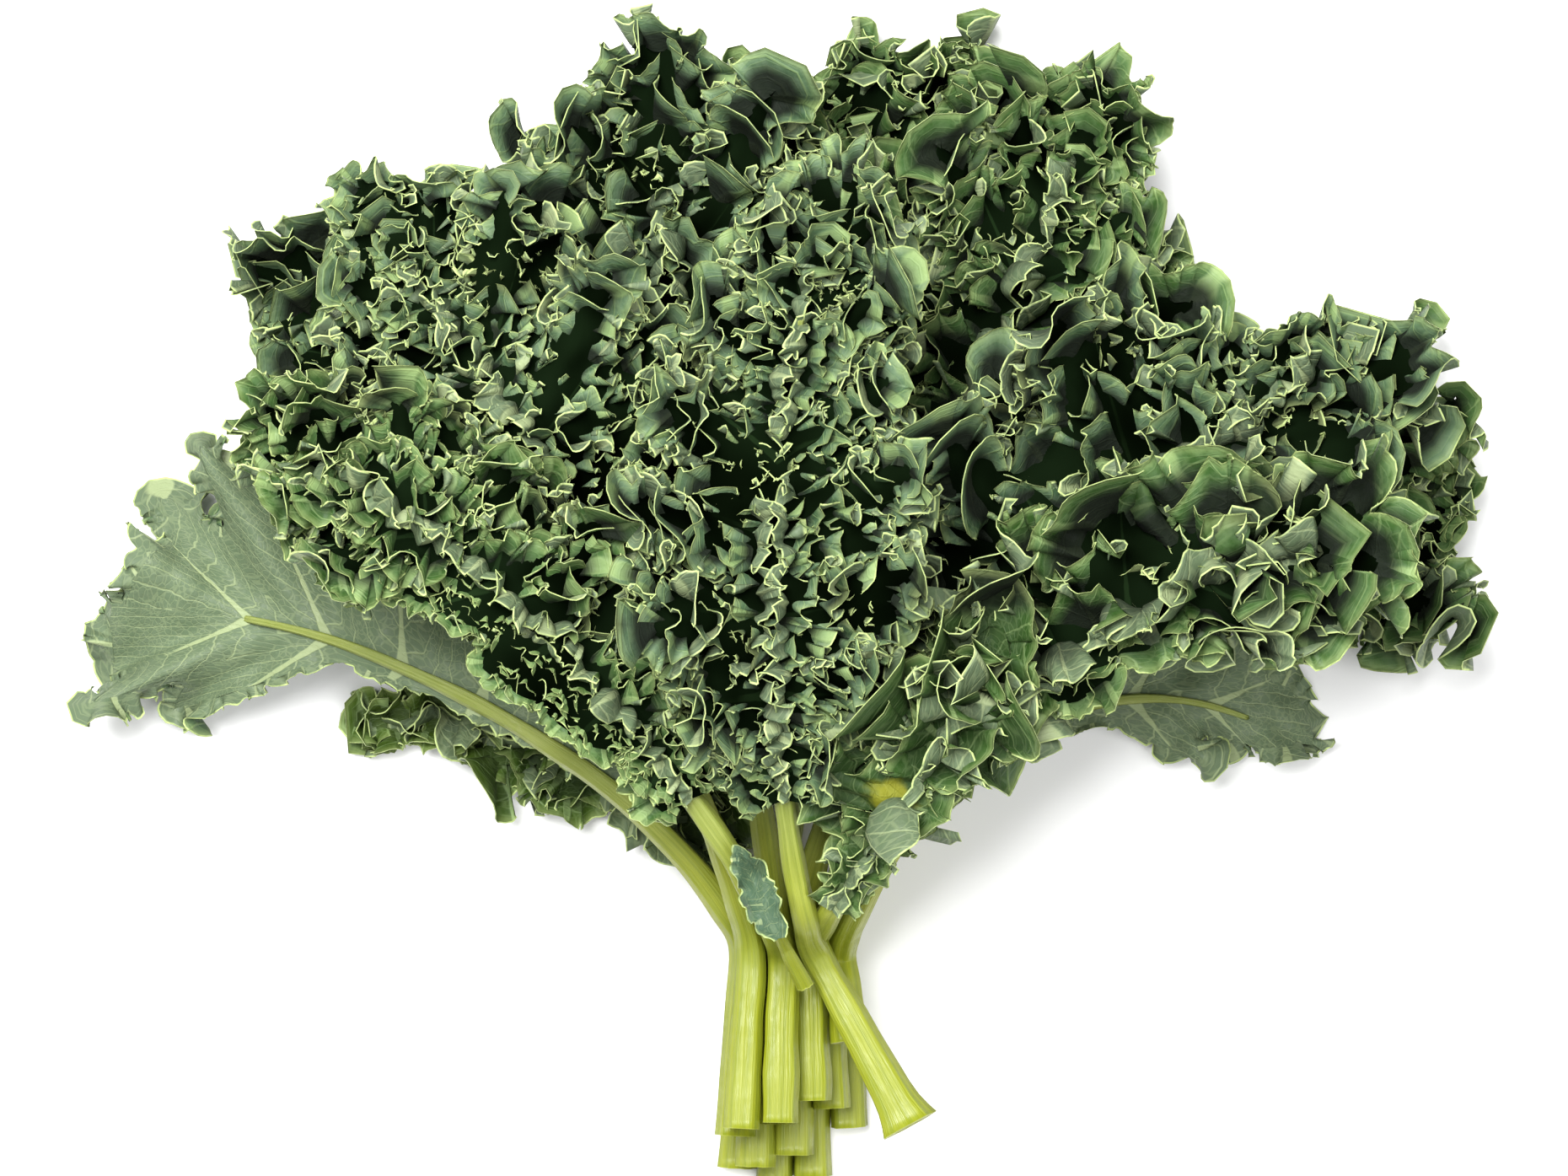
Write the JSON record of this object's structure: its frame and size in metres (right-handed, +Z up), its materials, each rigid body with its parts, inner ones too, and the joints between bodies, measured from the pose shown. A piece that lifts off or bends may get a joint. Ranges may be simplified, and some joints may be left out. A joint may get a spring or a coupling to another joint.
{
  "type": "kale bunch",
  "caption": "Bunch of cut curly kale leaves lying on a flat surface: ruffled green blades fanned out from a bundle of pale stalks.",
  "frame": {"origin": "on the surface that the bunch lies on, under the middle of its bounding box", "axes": "+Z up from the surface to the leaves that show in front, +Y from the cut stalk ends towards the leaf tips, +X to the right as the bunch is seen from above"},
  "size_m": [0.4869, 0.4124, 0.1431],
  "materials": {
    "leaf": "matte leaf, waxy blue-green bloom, pale rims",
    "stalk": "smooth pale yellow-green rind, finely ridged"
  },
  "bodies": {
    "root": {"low_right_blade": "leaf", "low_right_stalk": "stalk", "low_left_blade": "leaf", "low_left_stalk": "stalk", "top_back_blade": "leaf", "top_back_stalk": "stalk", "right_back_blade": "leaf", "right_back_stalk": "stalk", "upper_left_back_blade": "leaf", "upper_left_back_stalk": "stalk", "top_right_blade": "leaf", "top_right_stalk": "stalk", "upper_right_blade": "leaf", "upper_right_stalk": "stalk", "left_wing_blade": "leaf", "left_wing_stalk": "stalk", "top_left_blade": "leaf", "top_left_stalk": "stalk", "right_front_blade": "leaf", "right_front_stalk": "stalk", "low_front_blade": "leaf", "low_front_stalk": "stalk", "upper_left_blade": "leaf", "upper_left_stalk": "stalk", "left_front_blade": "leaf", "left_front_stalk": "stalk", "centre_front_blade": "leaf", "centre_front_stalk": "stalk", "young_blade": "leaf", "young_stalk": "stalk"}
  },
  "joints": []
}
